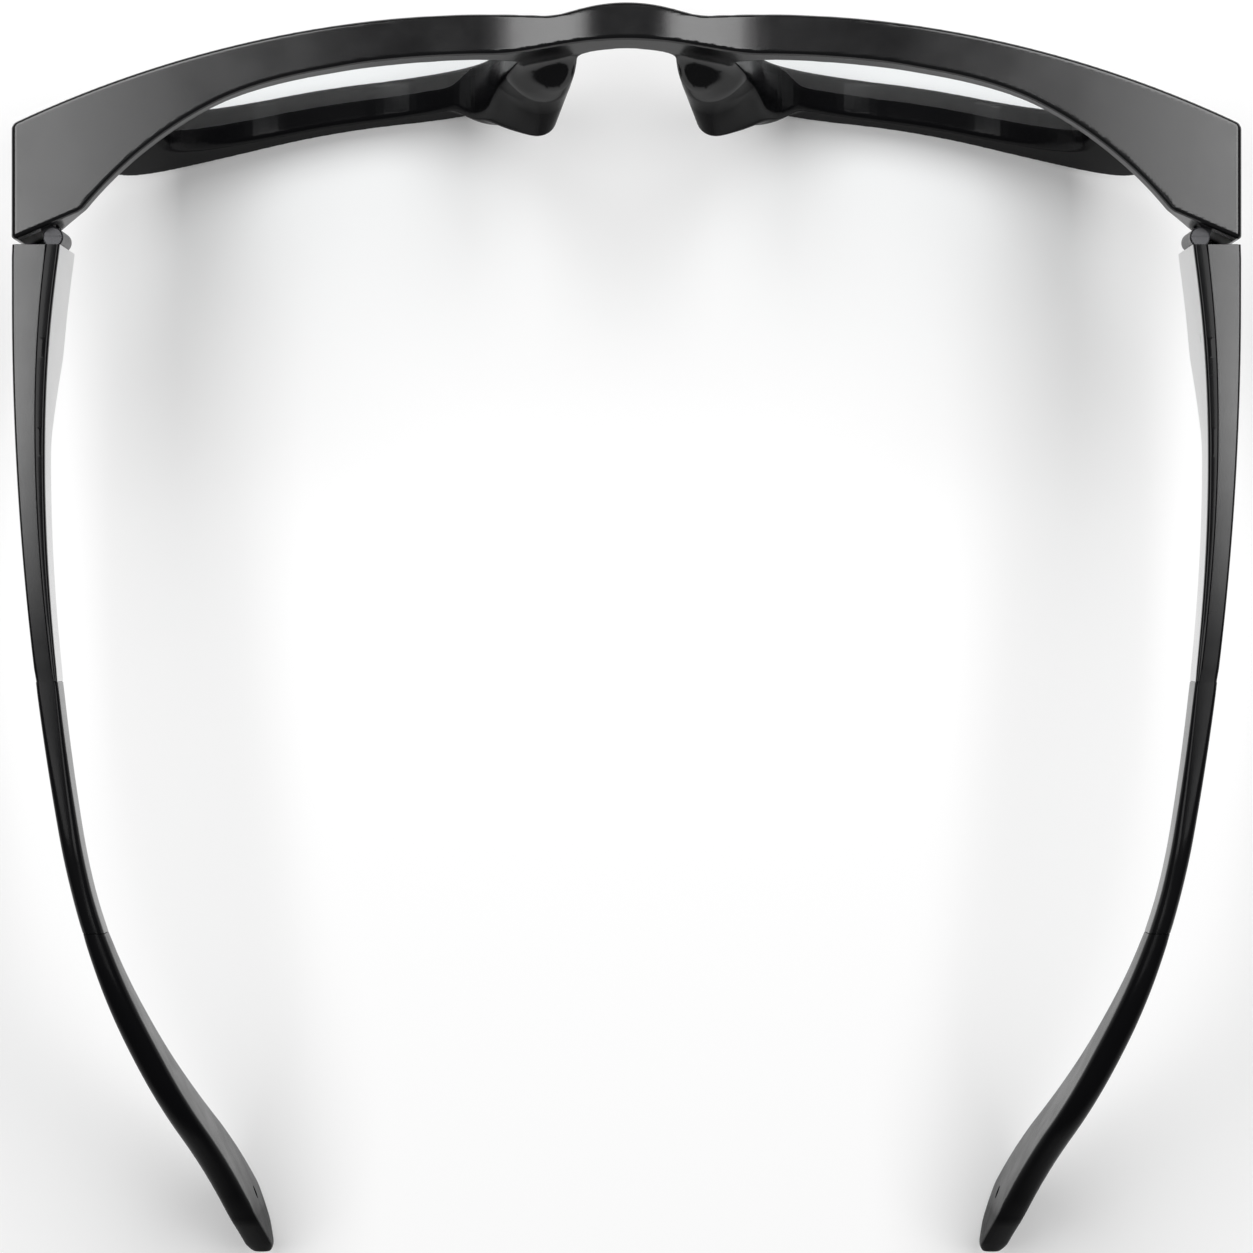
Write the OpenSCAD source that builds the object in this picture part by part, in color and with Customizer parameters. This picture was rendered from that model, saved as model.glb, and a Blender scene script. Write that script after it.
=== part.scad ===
/* [Front] */
// Width across the end pieces
front_w = 146; // [136:1:156]
// Height of the front
front_h = 45; // [40:1:52]
// Radius of the front's curve, seen from above
front_curve_r = 137; // [115:1:200]
// Thickness of the rims, front to back
rim_t = 4.8; // [4.2:0.1:6]
// Lean of the front, bottom to the rear
lean = 5; // [0:1:12]
// Drop of the brow over the bridge
brow_dip = 2.4; // [0:0.1:4]
// Height of the nose arch
nose_arch_h = 37; // [34:0.5:38.5]
// Thickness of the top shelf at its inner edge
shelf_t = 4; // [3:0.5:6]
// Height of the end pieces
end_h = 19; // [17:0.5:22]
// How far back the end pieces reach
end_depth = 28.6; // [26:0.1:34]
// Angle of the mitre at the hinge, seen from above
mitre = 23.3; // [10:0.1:35]

/* [Lenses] */
// Width of the wide end of each lens opening
lens_w = 46; // [40:0.5:48]
// Height of each lens opening
lens_h = 36; // [28:0.5:37]
// Distance between the lens openings
lens_gap = 24; // [22:0.5:30]
// Thickness of the lenses
lens_t = 2; // [1.5:0.1:2.4]
// Depth of the groove that holds the lenses
groove_d = 1; // [0.6:0.1:1.4]
// Play of the lenses in their grooves
lens_play = 0.08; // [0.03:0.01:0.2]

/* [Temples] */
// Length from the hinge end to the start of the hook
arm_l = 80; // [64:1:96]
// Length of the hook, measured straight back
hook_l = 43.6; // [36:0.5:52]
// Thickness at the hinge
hinge_end_t = 5.8; // [5.2:0.1:7]
// Thickness of the slim part
slim_t = 2.25; // [2.1:0.05:3]
// Thickness of the hook
hook_t = 3.2; // [3:0.1:4.5]
// Height of the slim part
slim_h = 7.6; // [6.5:0.1:10]
// Height of the hook across its slope
hook_h = 11; // [10:0.5:14]
// Length of the tall housing behind the hinge
housing_l = 12.5; // [12:0.5:20]
// Gap between the front and the temples
end_gap = 0.4; // [0.3:0.05:0.6]
// Wall of the housing on the outside
wall_t = 1; // [0.8:0.05:1.2]
// Wall of the housing at its top and bottom
edge_t = 1.2; // [1:0.05:1.4]
// Length of the inner cover
cover_l = 52; // [48:1:60]
// Radius of the lanyard holes
lanyard_r = 0.85; // [0.6:0.05:1]

/* [Hinges] */
// Radius of the barrels
barrel_r = 1.2; // [1.1:0.05:1.3]
// Height of the barrels
barrel_h = 10.4; // [9:0.2:12]
// Radius of the pivot screws
pivot_r = 0.6; // [0.5:0.05:0.7]
// Play of the pivot screws in their knuckles
pivot_play = 0.04; // [0.02:0.01:0.08]
// Distance of the pivot from the outer side
pivot_inset = 4.6; // [4.4:0.1:5]
// Thickness of the hinge leaves
leaf_t = 1; // [0.8:0.1:1.2]

/* [Button] */
// Length of the action button
button_l = 4.4; // [3.6:0.1:4.8]
// Width of the action button
button_w = 1.6; // [1.3:0.1:1.7]
// Travel of the action button
button_travel = 0.4; // [0.2:0.05:0.5]

/* [Hidden] */
half_w = front_w / 2;
bulge = 1.75;
arc_x = 14.5;
bridge_front_r = 20;
bridge_rear_r = 37;
bridge_t = 4.4;
shelf_x = 27;
shelf_v = 7;
shelf_r = ((half_w - 7.6 - shelf_x) ^ 2 + (end_depth - 2.7 - shelf_v) ^ 2) / 2 / (end_depth - 2.7 - shelf_v);
corbel = 3;
end_z = front_h - end_h;
rim_foot = 4.6;
run_play = 0.3;
press_play = 0.02;
face_v = end_depth + end_gap;
temple_l = arm_l + hook_l;
overall_d = face_v + temple_l;
temple_top = front_h - 0.3;
arm_base = temple_top - slim_h - 0.4;
pivot_x = half_w - pivot_inset;
pivot_v = face_v - 1.05;
pivot_z = end_z + 4.6;
knuckle_gap = 0.05;
knuckle_h = (barrel_h - 2 * knuckle_gap) / 3;
outer_r = 370;
bend_r = 110;
bend_s = arm_l - 9.4;
bend_l = 36.4;
flare = 0.0103;
skin_t = 0.8;
hollow_s = 2.4;
tip_s = arm_l + 2;
tenon_l = 5;
board_t = 0.6;
film_t = 0.2;
cable_t = 0.25;
cable_h = 2.6;
cable_z = temple_top - 6.4;
cell_t = 1.7;
cell_l = 19;
cell_w = 6.4;
hook_angle = 44;
hole_s = temple_l - 7;
hole_z = 9;
screw_r = 0.45;
rest_gap = 0.05;
flange_t = 0.5;
button_s = 9;
button_v = face_v + button_s;
button_x = half_w - 2.1;

// ---------- outline helpers ----------

function unit(a) = a / norm(a);
function turned(p, a) = [p[0] * cos(a) - p[1] * sin(a), p[0] * sin(a) + p[1] * cos(a)];

// Points of one rounded corner: b is the corner, a and c its neighbours
function corner(a, b, c, r) =
  let (u = unit(a - b), w = unit(c - b))
  let (half = acos(u * w) / 2, side = cross([u[0], u[1]], [w[0], w[1]]) > 0 ? -1 : 1)
  let (middle = b + unit(u + w) * r / sin(half))
  let (from = b + u * r / tan(half) - middle)
  [for (i = [0:6]) middle + turned(from, side * (180 - 2 * half) * i / 6)];

// A closed outline from corners given as [x, z, radius]
function rounded(p) = [
  for (i = [0:len(p) - 1])
    let (a = p[(i + len(p) - 1) % len(p)], b = p[i], c = p[(i + 1) % len(p)])
    each corner([a[0], a[1]], [b[0], b[1]], [c[0], c[1]], b[2])
];

// ---------- temple curves: s runs back from the hinge end ----------

bend_a = asin((bend_s - 7) / outer_r);
bend_x = half_w - outer_r * (1 - cos(bend_a));
bend_cx = bend_x - bend_r * cos(bend_a);
bend_cs = bend_s - bend_r * sin(bend_a);
tail_s = bend_s + bend_l;
tail_a = asin((tail_s - bend_cs) / bend_r);
tail_x = bend_cx + bend_r * cos(tail_a);

function turn_in(s) =
  s < 7 ? 0 :
  s < bend_s ? asin((s - 7) / outer_r) :
  s < tail_s ? asin((s - bend_cs) / bend_r) :
  atan(tan(tail_a) - 2 * flare * (s - tail_s));

function outer_x(s) =
  s < 7 ? half_w :
  s < bend_s ? half_w - outer_r * (1 - cos(turn_in(s))) :
  s < tail_s ? bend_cx + bend_r * cos(turn_in(s)) :
  tail_x - tan(tail_a) * (s - tail_s) + flare * (s - tail_s) ^ 2;

function ease(a) = let (b = min(1, max(0, a))) b * b * (3 - 2 * b);

function thick(s) =
  slim_t + (hinge_end_t - slim_t) * exp(-s / 24) + (hook_t - slim_t) * ease((s - arm_l + 4) / 22);

function inner_x(s) = outer_x(s) - thick(s) / cos(turn_in(s));

// Across the temple: part 0 is the inner face, 1 the outer; d is added outward
function across(s, part, d) = inner_x(s) + (part * thick(s) + d) / cos(turn_in(s));

function cover_t(s) = 0.6 + 1.1 * max(0, 1 - s / cover_l);

// Side outline of the whole temple, as [s, height, radius]
function temple_outline(grow) = [
  [-grow, temple_top + grow, 0.1],
  [arm_l - 8, front_h - 1.4 + grow, 40],
  [arm_l + 11, front_h - 3.4 + grow, 25],
  [arm_l + 24, front_h - 10 + grow, 30],
  [temple_l - 5.6, 20.5 + grow, 20],
  [temple_l + 0.8 + grow, 5.5, 3.5],
  [temple_l - 3.4, 0, 1.6],
  [temple_l - 8, 0, 1.6],
  [temple_l - 13.2, 6.5, 12],
  [arm_l + 16, front_h - 7.5 - hook_h, 30],
  [arm_l + 6, arm_base - 2.4, 25],
  [arm_l - 9, arm_base - grow, 40],
  [housing_l + 10.7, arm_base - grow, 5],
  [housing_l, end_z - grow, 3.5],
  [-grow, end_z - grow, 0.1]
];

// ---------- shared shapes ----------

module placed() {
  translate([0, -overall_d / 2, 0]) children();
}

module other_side() {
  mirror([1, 0, 0]) children();
}

module both_sides() {
  children();
  other_side() children();
}

// A shape drawn in the temple's side view, made solid across the temple
module side_solid(points) {
  translate([0, face_v, 0]) rotate([90, 0, 90]) linear_extrude(half_w + 10) polygon(points);
}

// A wall that follows the temple's curve, upright through its whole height
module strip(part_a, d_a, part_b, d_b, s0, s1) {
  n = ceil((s1 - s0) / 3.5);
  step = (s1 - s0) / n;
  near = [for (i = [0:n]) [across(s0 + i * step, part_a, d_a), s0 + i * step]];
  far = [for (i = [n:-1:0]) [across(s0 + i * step, part_b, d_b), s0 + i * step]];
  translate([0, face_v, -5])
    linear_extrude(front_h + 10) polygon(concat(near, far));
}

// The region behind the front face of the rims, moved back by depth
module behind_face(depth) {
  intersection() {
    union() {
      both_sides()
        translate([arc_x, bulge + front_curve_r]) circle(front_curve_r - depth);
      translate([-arc_x, bulge + depth]) square([2 * arc_x, front_curve_r]);
      if (depth < rim_t - 0.5) {
        intersection() {
          translate([0, bridge_front_r + depth]) circle(bridge_front_r);
          translate([-arc_x, -1]) square([2 * arc_x, 12]);
        }
      }
    }
    translate([-half_w, -1]) square([front_w, 60]);
  }
}

module leaned(h) {
  translate([0, 0, front_h - brow_dip]) rotate([lean, 0, 0])
    translate([0, 0, brow_dip - front_h - 8]) linear_extrude(h) children();
}

// A curved, leaning sheet from one depth behind the front face to another
module front_sheet(depth_a, depth_b) {
  difference() {
    leaned(front_h + 16) behind_face(depth_a);
    leaned(front_h + 18) behind_face(depth_b);
  }
}

module rim_sheet() {
  difference() {
    leaned(front_h + 16) behind_face(0);
    leaned(front_h + 18) {
      behind_face(rim_t);
      intersection() {
        translate([0, bridge_t + bridge_rear_r]) circle(bridge_rear_r);
        translate([-arc_x, 0]) square([2 * arc_x, bridge_t + 5]);
      }
    }
  }
}

module seen_from_front(points, depth) {
  translate([0, depth, 0]) rotate([90, 0, 0]) linear_extrude(depth + 10) polygon(points);
}

function front_corners() = [
  [-6, front_h - brow_dip, 0.1],
  [5, front_h - brow_dip, 30],
  [13.5, front_h - 0.8, 60],
  [30, front_h, 300],
  [half_w, front_h, 0.6],
  [half_w, end_z, 1.2],
  [half_w - 7, end_z - 1, 3],
  [half_w - 8.4, end_z - 6, 5],
  [half_w - 11, 6, 16],
  [half_w - 23, 0, 22],
  [24, 0, 14],
  [15.5, 6, 8],
  [11, 18, 20],
  [7.6, 28, 20],
  [5.5, nose_arch_h - 2, 4],
  [-6, nose_arch_h, 0.1]
];

lens_x0 = lens_gap / 2;
lens_x1 = lens_x0 + lens_w;

function lens_corners(grow) = [
  [lens_x0 - grow, rim_foot + lens_h - 0.5 + grow, 5 + grow],
  [lens_x1 + grow, rim_foot + lens_h + grow, 8 + grow],
  [lens_x1 - 2.5 + grow, rim_foot + 3 - grow, 15 + grow],
  [lens_x0 + 7.5 - grow, rim_foot - grow, 15 + grow]
];

// ---------- front ----------

module mitre_cut() {
  translate([half_w, end_depth, -5]) rotate([0, 0, mitre])
    translate([-60, 0, 0]) cube([80, 60, front_h + 10]);
}

// A low ledge that closes the mitre from below, outboard of the barrels
module hinge_ledge() {
  translate([pivot_x + 0.9, end_depth - 4, end_z - 1]) cube([pivot_inset, 4, 5]);
}

module end_piece() {
  difference() {
    intersection() {
      leaned(front_h + 16) behind_face(1);
      translate([0, 0, end_z]) linear_extrude(end_h)
        translate([shelf_x, 0]) square([half_w - shelf_x, end_depth + 4]);
      seen_from_front(rounded(front_corners()), 60);
    }
    translate([shelf_x, shelf_v + shelf_r, end_z - 1]) cylinder(r = shelf_r, h = end_h + 2, $fn = 200);
    translate([shelf_x, shelf_v + shelf_r, end_z])
      cylinder(r1 = shelf_r + corbel, r2 = shelf_r, h = end_h - shelf_t, $fn = 200);
    difference() {
      mitre_cut();
      hinge_ledge();
    }
  }
}

module nose_pad() {
  hull() {
    translate([8.9, 8.6, nose_arch_h - 7]) scale([1, 1.2, 1.8]) sphere(1.6, $fn = 28);
    translate([10.2, 11.7, 20]) scale([0.8, 1, 2]) sphere(1.7, $fn = 28);
    translate([12, 11.7, 14.5]) scale([0.8, 1, 1.5]) sphere(1.7, $fn = 28);
    translate([16, 9.4, 12]) sphere(2.2, $fn = 28);
    translate([11.6, 7.6, 27]) sphere(2, $fn = 28);
  }
}

// Lines up with the mitred end face: x runs outward along it, y into the front
module on_mitre() {
  translate([half_w, end_depth, 0]) rotate([0, 0, mitre]) mirror([0, 1, 0]) children();
}

module barrel_relief(z0, z1) {
  translate([pivot_x, pivot_v, z0]) cylinder(r = barrel_r + run_play, h = z1 - z0, $fn = 60);
}

function knuckle_z(i) = pivot_z + i * (knuckle_h + knuckle_gap);

module front_leaf(play) {
  on_mitre()
    translate([-pivot_inset / cos(mitre) - play, -0.01, pivot_z - play])
      cube([pivot_inset - 0.3 + 2 * play, leaf_t + play, barrel_h + 2 * play]);
}

module front_leaf_screw(r, l, head) {
  for (z = [pivot_z + 2.2, pivot_z + barrel_h - 2.2]) on_mitre() {
    translate([-2.2, 0.2, z]) rotate([-90, 0, 0]) {
      cylinder(r = r, h = l, $fn = 40);
      if (head > 0) cylinder(r = head, h = 0.5, $fn = 40);
    }
  }
}

module frame_front() {
  color([0.05, 0.05, 0.055]) placed() difference() {
    union() {
      intersection() {
        rim_sheet();
        both_sides() seen_from_front(rounded(front_corners()), 60);
      }
      both_sides() end_piece();
      both_sides() nose_pad();
    }
    both_sides() {
      seen_from_front(rounded(lens_corners(0)), 40);
      intersection() {
        front_sheet(1.3, 1.3 + lens_t + 2 * lens_play);
        seen_from_front(rounded(lens_corners(groove_d)), 40);
      }
      front_leaf(press_play);
      front_leaf_screw(screw_r, 4, 0);
      barrel_relief(knuckle_z(0) - run_play, knuckle_z(3) + 0.6 + run_play);
    }
  }
}

module lens() {
  placed() intersection() {
    front_sheet(1.3 + lens_play, 1.3 + lens_play + lens_t);
    seen_from_front(rounded(lens_corners(groove_d - 0.15)), 40);
  }
}

module lens_left() {
  color([0.85, 0.9, 0.92, 0.35]) lens();
}

module lens_right() {
  color([0.85, 0.9, 0.92, 0.35]) other_side() lens();
}

// ---------- hinges ----------

module knuckle(i) {
  translate([pivot_x, pivot_v, knuckle_z(i)]) cylinder(r = barrel_r, h = knuckle_h, $fn = 60);
}

module pivot_bore(play) {
  translate([pivot_x, pivot_v, pivot_z - 1]) cylinder(r = pivot_r + play, h = barrel_h + 2, $fn = 60);
}

module front_hinge() {
  color([0.62, 0.62, 0.64]) placed() difference() {
    union() {
      difference() {
        union() {
          front_leaf(0);
          for (i = [0, 2]) translate([pivot_x, pivot_v, knuckle_z(i)]) rotate([0, 0, mitre])
            translate([-0.4, -1.5, 0]) cube([1.4, 1.5, knuckle_h]);
        }
        barrel_relief(knuckle_z(1) - knuckle_gap, knuckle_z(2));
      }
      knuckle(0);
      knuckle(2);
    }
    pivot_bore(pivot_play);
    front_leaf_screw(screw_r, 4, 0.8);
  }
}

module front_hinge_left() {
  front_hinge();
}

module front_hinge_right() {
  other_side() front_hinge();
}

module front_leaf_screws() {
  color([0.5, 0.5, 0.52]) placed() front_leaf_screw(screw_r, 3.6, 0.78);
}

module front_leaf_screws_left() {
  front_leaf_screws();
}

module front_leaf_screws_right() {
  other_side() front_leaf_screws();
}

module pivot_screw() {
  color([0.7, 0.7, 0.72]) placed() translate([pivot_x, pivot_v, pivot_z]) difference() {
    union() {
      cylinder(r = pivot_r, h = barrel_h + 0.1, $fn = 60);
      translate([0, 0, barrel_h]) cylinder(r = barrel_r - 0.15, h = 0.6, $fn = 60);
    }
    translate([-barrel_r, -0.12, barrel_h + 0.35]) cube([2 * barrel_r, 0.24, 1]);
  }
}

module pivot_screw_left() {
  pivot_screw();
}

module pivot_screw_right() {
  other_side() pivot_screw();
}

module temple_leaf(play) {
  translate([pivot_x - 0.7 - play, face_v - 0.01, pivot_z - play])
    cube([pivot_inset + 2 * play, leaf_t + play, barrel_h + 2 * play]);
}

module temple_leaf_screw(r, l, head) {
  for (z = [pivot_z + 2.2, pivot_z + barrel_h - 2.2])
    translate([half_w - 1.9, face_v + 0.2, z]) rotate([-90, 0, 0]) {
      cylinder(r = r, h = l, $fn = 40);
      if (head > 0) cylinder(r = head, h = 0.5, $fn = 40);
    }
}

module temple_hinge() {
  color([0.62, 0.62, 0.64]) placed() difference() {
    union() {
      difference() {
        temple_leaf(0);
        barrel_relief(pivot_z - 1, knuckle_z(1));
        barrel_relief(knuckle_z(2) - knuckle_gap, knuckle_z(3) + 1);
      }
      translate([pivot_x - 0.6, pivot_v, knuckle_z(1)]) cube([1.8, 1.5, knuckle_h]);
      knuckle(1);
    }
    pivot_bore(pivot_play);
    temple_leaf_screw(screw_r, 4, 0.8);
  }
}

module temple_hinge_left() {
  temple_hinge();
}

module temple_hinge_right() {
  other_side() temple_hinge();
}

module temple_leaf_screws() {
  color([0.5, 0.5, 0.52]) placed() temple_leaf_screw(screw_r, 2, 0.78);
}

module temple_leaf_screws_left() {
  temple_leaf_screws();
}

module temple_leaf_screws_right() {
  other_side() temple_leaf_screws();
}

// ---------- temples ----------

// The room inside the housing, shared by the shell and its cover
module hollow_room() {
  intersection() {
    strip(0, skin_t, 1, -wall_t, hollow_s, cover_l - 3);
    side_solid(rounded([
      [hollow_s, temple_top - edge_t, 0.6],
      [cover_l - 4, temple_top - edge_t - 0.3, 0.6],
      [cover_l - 4, arm_base + edge_t, 0.6],
      [housing_l + 10.2, arm_base + edge_t, 1],
      [housing_l - 0.5, end_z + edge_t, 1],
      [hollow_s, end_z + edge_t, 0.6]
    ]));
  }
}

// Side outline of the flat cable, which drops into the hook
function cable_outline(grow) = [
  [cover_l - 7, cable_z - grow], [arm_l + 7, cable_z - 0.6 - grow], [arm_l + 16, cable_z - 7.5 - grow],
  [arm_l + 16, cable_z - 7.5 + cable_h + grow], [arm_l + 8, cable_z - 0.6 + cable_h + grow],
  [cover_l - 7, cable_z + cable_h + grow]
];

module cable_run(grow, s0, s1) {
  intersection() {
    strip(0.5, -cable_t / 2 - grow, 0.5, cable_t / 2 + grow, s0, s1);
    side_solid(cable_outline(grow));
  }
}

module tenon(grow) {
  intersection() {
    strip(0, 0.6 - grow, 1, -0.6 + grow, tip_s - 0.1, tip_s + tenon_l + grow);
    translate([0, 0, cable_z - 0.9 - grow]) cube([half_w, overall_d, cable_h + 1.3 + 2 * grow]);
  }
}

// Slot cut through the sloping underside, for the speaker's sound
module sound_port(w, l, deep, out) {
  slope = atan2(arm_base - end_z, 10.7);
  mid = housing_l + 5.4;
  translate([across(mid, 0.5, 0), face_v + mid, (arm_base + end_z) / 2]) rotate([slope, 0, 0])
    translate([-w / 2, -l / 2, -out]) cube([w, l, deep + out]);
}

module contact_pins(r, h) {
  for (s = [3.2, 5.2])
    translate([button_x, face_v + s, end_z - 0.01]) cylinder(r = r, h = h, $fn = 40);
}

module shell_solid() {
  difference() {
    union() {
      difference() {
        intersection() {
          strip(0, 0, 1, 0, 0, tip_s);
          side_solid(rounded(temple_outline(0)));
        }
        intersection() {
          strip(0, -2, 0, 1, -1, cover_l);
          side_solid(rounded(temple_outline(1)));
        }
      }
      tenon(0);
    }
    cover_bed();
    hollow_room();
    cable_run(0.12, cover_l - 7, arm_l + 13);
    temple_leaf(press_play);
    temple_leaf_screw(screw_r, 4, 0);
    barrel_relief(pivot_z - run_play, knuckle_z(3) + 0.6 + run_play);
    sound_port(1.1, 5, 3, 1);
    contact_pins(0.6, 3);
    translate([across(27.3, 0.5, 0), face_v + 27.3, arm_base - 1]) cylinder(r = 0.4, h = 3.5, $fn = 40);
  }
}

// What the cover takes up, so that the shell makes room for it
module cover_bed() {
  n = ceil(cover_l / 3.5);
  near = [for (i = [0:n]) [across(i * cover_l / n, 0, -2), i * cover_l / n]];
  far = [for (i = [n:-1:0]) [across(i * cover_l / n, 0, cover_t(i * cover_l / n)), i * cover_l / n]];
  translate([0, face_v, -5]) linear_extrude(front_h + 10) polygon(concat(
    [[across(0, 0, -2), -1]], near, far, [[across(0, 0, cover_t(0)), -1]]));
}

module temple_shell_left() {
  color([0.05, 0.05, 0.055]) placed() shell_solid();
}

module temple_shell_right() {
  color([0.05, 0.05, 0.055]) other_side() placed() difference() {
    shell_solid();
    translate([button_x - button_w / 2 - 0.15, button_v - button_l / 2 - 0.15, end_z - 1])
      cube([button_w + 0.3, button_l + 0.3, edge_t + 2]);
  }
}

module cover_solid() {
  difference() {
    intersection() {
      cover_bed();
      strip(0, 0, 1, 0, 0, cover_l - 0.05);
      side_solid(rounded(temple_outline(0)));
    }
    hollow_room();
    barrel_relief(pivot_z - run_play, knuckle_z(3) + 0.6 + run_play);
    temple_leaf(press_play);
  }
}

module temple_cover_left() {
  color([0.08, 0.08, 0.085]) placed() cover_solid();
}

module light_hole(r, deep) {
  translate([inner_x(11) - 1, face_v + 11, temple_top - 3.6]) rotate([0, 90, 0])
    cylinder(r = r, h = deep + 1, $fn = 40);
}

module temple_cover_right() {
  color([0.08, 0.08, 0.085]) other_side() placed() difference() {
    cover_solid();
    light_hole(0.6, 2);
  }
}

// ---------- ear tips ----------

module cell_outline(grow) {
  side_solid([for (p = [
    [-cell_l / 2 - grow, -cell_w / 2 - grow], [cell_l / 2 + grow, -cell_w / 2 - grow],
    [cell_l / 2 + grow, cell_w / 2 + grow], [-cell_l / 2 - grow, cell_w / 2 + grow]
  ]) turned(p, -hook_angle) + [arm_l + 20.8, front_h - 17.2]]);
}

module cell(grow) {
  intersection() {
    strip(0.5, -cell_t / 2 - grow, 0.5, cell_t / 2 + grow, arm_l + 7, arm_l + 36);
    cell_outline(grow);
  }
}

module ear_tip() {
  color([0.05, 0.05, 0.055]) placed() difference() {
    intersection() {
      strip(0, 0, 1, 0, tip_s + 0.02, temple_l);
      side_solid(rounded(temple_outline(0)));
    }
    tenon(press_play);
    cable_run(0.12, arm_l, arm_l + 15);
    cell(0.15);
    lanyard_hole();
  }
}

module lanyard_hole() {
  translate([across(hole_s, 0.5, 0), face_v + hole_s, hole_z]) rotate([0, 0, turn_in(hole_s)])
    translate([-6, 0, 0]) rotate([0, 90, 0]) cylinder(r = lanyard_r, h = 12, $fn = 60);
}

module ear_tip_left() {
  ear_tip();
}

module ear_tip_right() {
  other_side() ear_tip();
}

module battery() {
  color([0.75, 0.76, 0.78]) placed() cell(0);
}

module battery_left() {
  battery();
}

module battery_right() {
  other_side() battery();
}

// ---------- electronics ----------

module circuit_board() {
  color([0.05, 0.25, 0.16]) placed() {
    intersection() {
      strip(1, -wall_t - film_t - 0.05 - board_t, 1, -wall_t - film_t - 0.05, hollow_s + 0.4, cover_l - 7);
      translate([0, 0, temple_top - 6.1]) cube([half_w, overall_d, 4.6]);
    }
    for (c = [[4, 4.4, 3.6], [9.6, 3.4, 3], [14.2, 2.4, 2.4]])
      translate([outer_x(c[0]) - wall_t - film_t - board_t - 0.7, face_v + c[0], temple_top - 5.8])
        cube([0.8, c[1], c[2]]);
  }
}

module circuit_board_left() {
  circuit_board();
}

module circuit_board_right() {
  other_side() circuit_board();
}

module speaker() {
  color([0.2, 0.2, 0.21]) placed() translate([half_w - 3.4, face_v + 3, end_z + 4.4]) {
    cube([2.2, 8.4, 6.6]);
    translate([0.3, 8.4, 1.4]) cube([1.6, 0.5, 3.4]);
  }
}

module speaker_left() {
  speaker();
}

module speaker_right() {
  other_side() speaker();
}

module speaker_mesh() {
  color([0.3, 0.3, 0.31]) placed() sound_port(1.06, 4.96, 0.4, -0.15);
}

module speaker_mesh_left() {
  speaker_mesh();
}

module speaker_mesh_right() {
  other_side() speaker_mesh();
}

module microphone() {
  color([0.75, 0.7, 0.5]) placed()
    translate([across(27.3, 0, skin_t + 0.06), face_v + 26, arm_base + edge_t + 0.05]) cube([0.55, 2.7, 1.9]);
}

module microphone_left() {
  microphone();
}

module microphone_right() {
  other_side() microphone();
}

module flex_cable() {
  color([0.75, 0.42, 0.1]) placed() cable_run(0, cover_l - 6.5, arm_l + 13);
}

module flex_cable_left() {
  flex_cable();
}

module flex_cable_right() {
  other_side() flex_cable();
}

module charge_contacts() {
  color([0.85, 0.68, 0.3]) placed() contact_pins(0.6, 2.2);
}

module charge_contacts_left() {
  charge_contacts();
}

module charge_contacts_right() {
  other_side() charge_contacts();
}

module touch_sensor() {
  color([0.75, 0.42, 0.1]) other_side() placed() intersection() {
    strip(1, -wall_t - film_t, 1, -wall_t - 0.02, 6, cover_l - 8);
    translate([0, 0, temple_top - 6]) cube([half_w, overall_d, 4.4]);
  }
}

module action_button() {
  color([0.1, 0.1, 0.11]) other_side() placed() {
    translate([button_x - button_w / 2, button_v - button_l / 2, end_z - 0.5])
      cube([button_w, button_l, edge_t + 0.5 + rest_gap]);
    translate([button_x - button_w / 2, button_v - button_l / 2 - 0.45, end_z + edge_t + rest_gap])
      cube([button_w, button_l + 0.9, flange_t]);
  }
}

module button_switch() {
  color([0.15, 0.15, 0.16]) other_side() placed()
    translate([button_x - 0.7, button_v - 1.4, end_z + edge_t + 2 * rest_gap + flange_t + button_travel])
      cube([1.4, 2.8, 1.2]);
}

module status_light() {
  color([0.9, 0.95, 0.9]) other_side() placed() intersection() {
    light_hole(0.6, 1.6);
    strip(0, 0, 1, 0, 8, 14);
  }
}

frame_front();
lens_left();
lens_right();
front_hinge_left();
front_hinge_right();
pivot_screw_left();
pivot_screw_right();
front_leaf_screws_left();
front_leaf_screws_right();
temple_shell_left();
temple_shell_right();
temple_cover_left();
temple_cover_right();
temple_hinge_left();
temple_hinge_right();
temple_leaf_screws_left();
temple_leaf_screws_right();
ear_tip_left();
ear_tip_right();
battery_left();
battery_right();
circuit_board_left();
circuit_board_right();
speaker_left();
speaker_right();
speaker_mesh_left();
speaker_mesh_right();
microphone_left();
microphone_right();
flex_cable_left();
flex_cable_right();
charge_contacts_left();
charge_contacts_right();
touch_sensor();
action_button();
button_switch();
status_light();
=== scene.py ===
import math

import bmesh
import bpy
import numpy as np
from mathutils import Matrix, Vector


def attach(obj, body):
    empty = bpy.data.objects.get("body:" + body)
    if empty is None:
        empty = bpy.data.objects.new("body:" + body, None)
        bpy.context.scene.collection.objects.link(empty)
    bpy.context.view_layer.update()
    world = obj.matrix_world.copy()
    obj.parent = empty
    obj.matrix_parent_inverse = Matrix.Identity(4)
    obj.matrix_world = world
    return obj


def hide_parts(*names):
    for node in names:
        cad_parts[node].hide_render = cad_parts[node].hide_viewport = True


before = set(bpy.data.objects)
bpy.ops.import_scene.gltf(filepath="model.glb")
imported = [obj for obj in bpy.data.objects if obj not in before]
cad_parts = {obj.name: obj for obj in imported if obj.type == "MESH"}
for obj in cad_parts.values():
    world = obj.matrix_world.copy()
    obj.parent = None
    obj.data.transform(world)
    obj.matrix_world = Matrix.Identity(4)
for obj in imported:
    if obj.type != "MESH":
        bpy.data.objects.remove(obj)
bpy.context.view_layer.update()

MM = 0.001

# ---------------------------------------------------------------- sizes, in millimetres

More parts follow.
